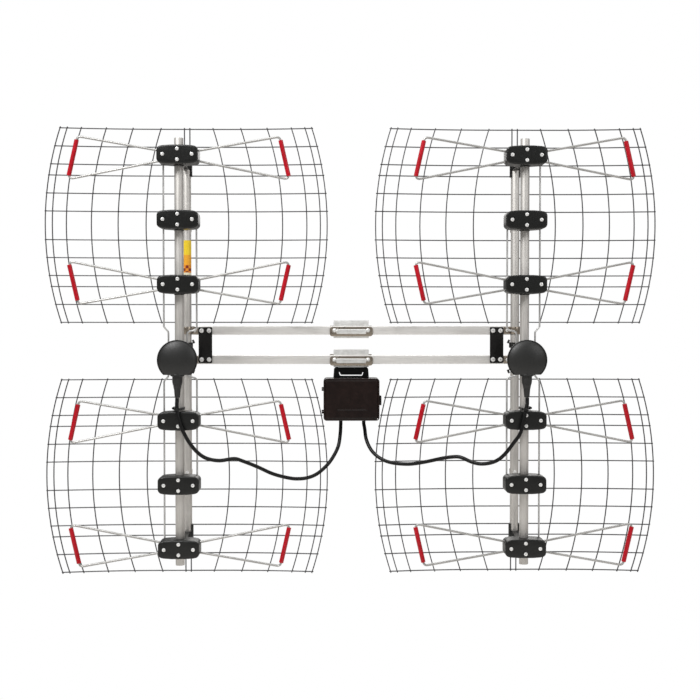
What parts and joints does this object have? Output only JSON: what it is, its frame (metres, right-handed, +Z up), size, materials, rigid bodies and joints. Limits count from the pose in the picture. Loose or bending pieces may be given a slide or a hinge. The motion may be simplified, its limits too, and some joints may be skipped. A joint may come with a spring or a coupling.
{
  "type": "bow-tie antenna array",
  "caption": "Bow-tie television antenna: swivelling panels of wire loops before curved wire reflectors, on a rail boom with mast clamps, baluns and a cable combiner.",
  "frame": {"origin": "on the axis of the mast that the clamps hold, at the height about which each panel's bays are mirrored", "axes": "+Z up along the mast, -Y the way the antenna looks, +X along the boom to the right as seen from the front"},
  "size_m": [1.1266, 0.2467, 0.823],
  "materials": {
    "tube_aluminium": "satin drawn tube",
    "rail_aluminium": "satin extruded square tube",
    "element_rod": "bright drawn rod",
    "phase_rod": "drawn rod",
    "zinc_steel": "zinc-plated pressed steel",
    "black_steel": "black coated steel",
    "black_plastic": "fine-grained moulded plastic",
    "case_plastic": "glossy brown-black moulded plastic",
    "cable_rubber": "black cable jacket",
    "reflector_wire": "dark grey coated wire",
    "sleeve_red": "red plastic tip sleeve",
    "label": "plain coloured label",
    "circuit_board": "green laminate",
    "brass_plated": "plated connector"
  },
  "bodies": {
    "left_panel": {"balun_housing_left": "black_plastic", "element_left_bay_1_inner": "element_rod", "element_left_bay_1_outer": "element_rod", "element_left_bay_2_inner": "element_rod", "element_left_bay_2_outer": "element_rod", "element_left_bay_3_inner": "element_rod", "element_left_bay_3_outer": "element_rod", "element_left_bay_4_inner": "element_rod", "element_left_bay_4_outer": "element_rod", "front_tube_left": "tube_aluminium", "insulator_left_bay_1": "black_plastic", "insulator_left_bay_2": "black_plastic", "insulator_left_bay_3": "black_plastic", "insulator_left_bay_4": "black_plastic", "insulator_left_middle_lower": "black_plastic", "insulator_left_middle_upper": "black_plastic", "phase_line_left_inner": "phase_rod", "phase_line_left_outer": "phase_rod", "rear_tube_left": "tube_aluminium", "reflector_left_lower": "reflector_wire", "reflector_left_upper": "reflector_wire"},
    "right_panel": {"balun_housing_right": "black_plastic", "element_right_bay_1_inner": "element_rod", "element_right_bay_1_outer": "element_rod", "element_right_bay_2_inner": "element_rod", "element_right_bay_2_outer": "element_rod", "element_right_bay_3_inner": "element_rod", "element_right_bay_3_outer": "element_rod", "element_right_bay_4_inner": "element_rod", "element_right_bay_4_outer": "element_rod", "front_tube_right": "tube_aluminium", "insulator_right_bay_1": "black_plastic", "insulator_right_bay_2": "black_plastic", "insulator_right_bay_3": "black_plastic", "insulator_right_bay_4": "black_plastic", "insulator_right_middle_lower": "black_plastic", "insulator_right_middle_upper": "black_plastic", "phase_line_right_inner": "phase_rod", "phase_line_right_outer": "phase_rod", "rear_tube_right": "tube_aluminium", "reflector_right_lower": "reflector_wire", "reflector_right_upper": "reflector_wire"},
    "boom": {"clamp_plate_lower": "zinc_steel", "clamp_plate_upper": "zinc_steel", "coax_left": "cable_rubber", "coax_right": "cable_rubber", "combiner_base": "case_plastic", "rail_lower": "rail_aluminium", "rail_upper": "rail_aluminium", "saddle_lower": "zinc_steel", "saddle_upper": "zinc_steel", "swivel_strap_left_lower": "zinc_steel", "swivel_strap_left_upper": "zinc_steel", "swivel_strap_right_lower": "zinc_steel", "swivel_strap_right_upper": "zinc_steel", "tie_plate_left": "black_steel", "tie_plate_right": "black_steel"},
    "combiner_lid": {"combiner_lid": "case_plastic"},
    "lower_jaw": {"jaw_lower": "zinc_steel"},
    "upper_jaw": {"jaw_upper": "zinc_steel"}
  },
  "joints": [
    {"name": "left_panel_swivel", "type": "hinge", "parent": "boom", "child": "left_panel", "pos_m": [-0.3037, -0.0562, 0], "axis": [0, 0, -1], "range_deg": [-45, 45], "deforming": ["coax_left"]},
    {"name": "right_panel_swivel", "type": "hinge", "parent": "boom", "child": "right_panel", "pos_m": [0.3037, -0.0562, 0], "axis": [0, 0, 1], "range_deg": [-45, 45], "deforming": ["coax_right"]},
    {"name": "combiner_lid_hinge", "type": "hinge", "parent": "boom", "child": "combiner_lid", "pos_m": [-0.0534, -0.066, -0.089], "axis": [0, 0, -1], "range_deg": [0, 100]},
    {"name": "upper_jaw_slide", "type": "slide", "parent": "boom", "child": "upper_jaw", "axis": [0, 1, 0], "range_m": [-0.012, 0.02]},
    {"name": "lower_jaw_slide", "type": "slide", "parent": "boom", "child": "lower_jaw", "axis": [0, 1, 0], "range_m": [-0.012, 0.02]}
  ]
}
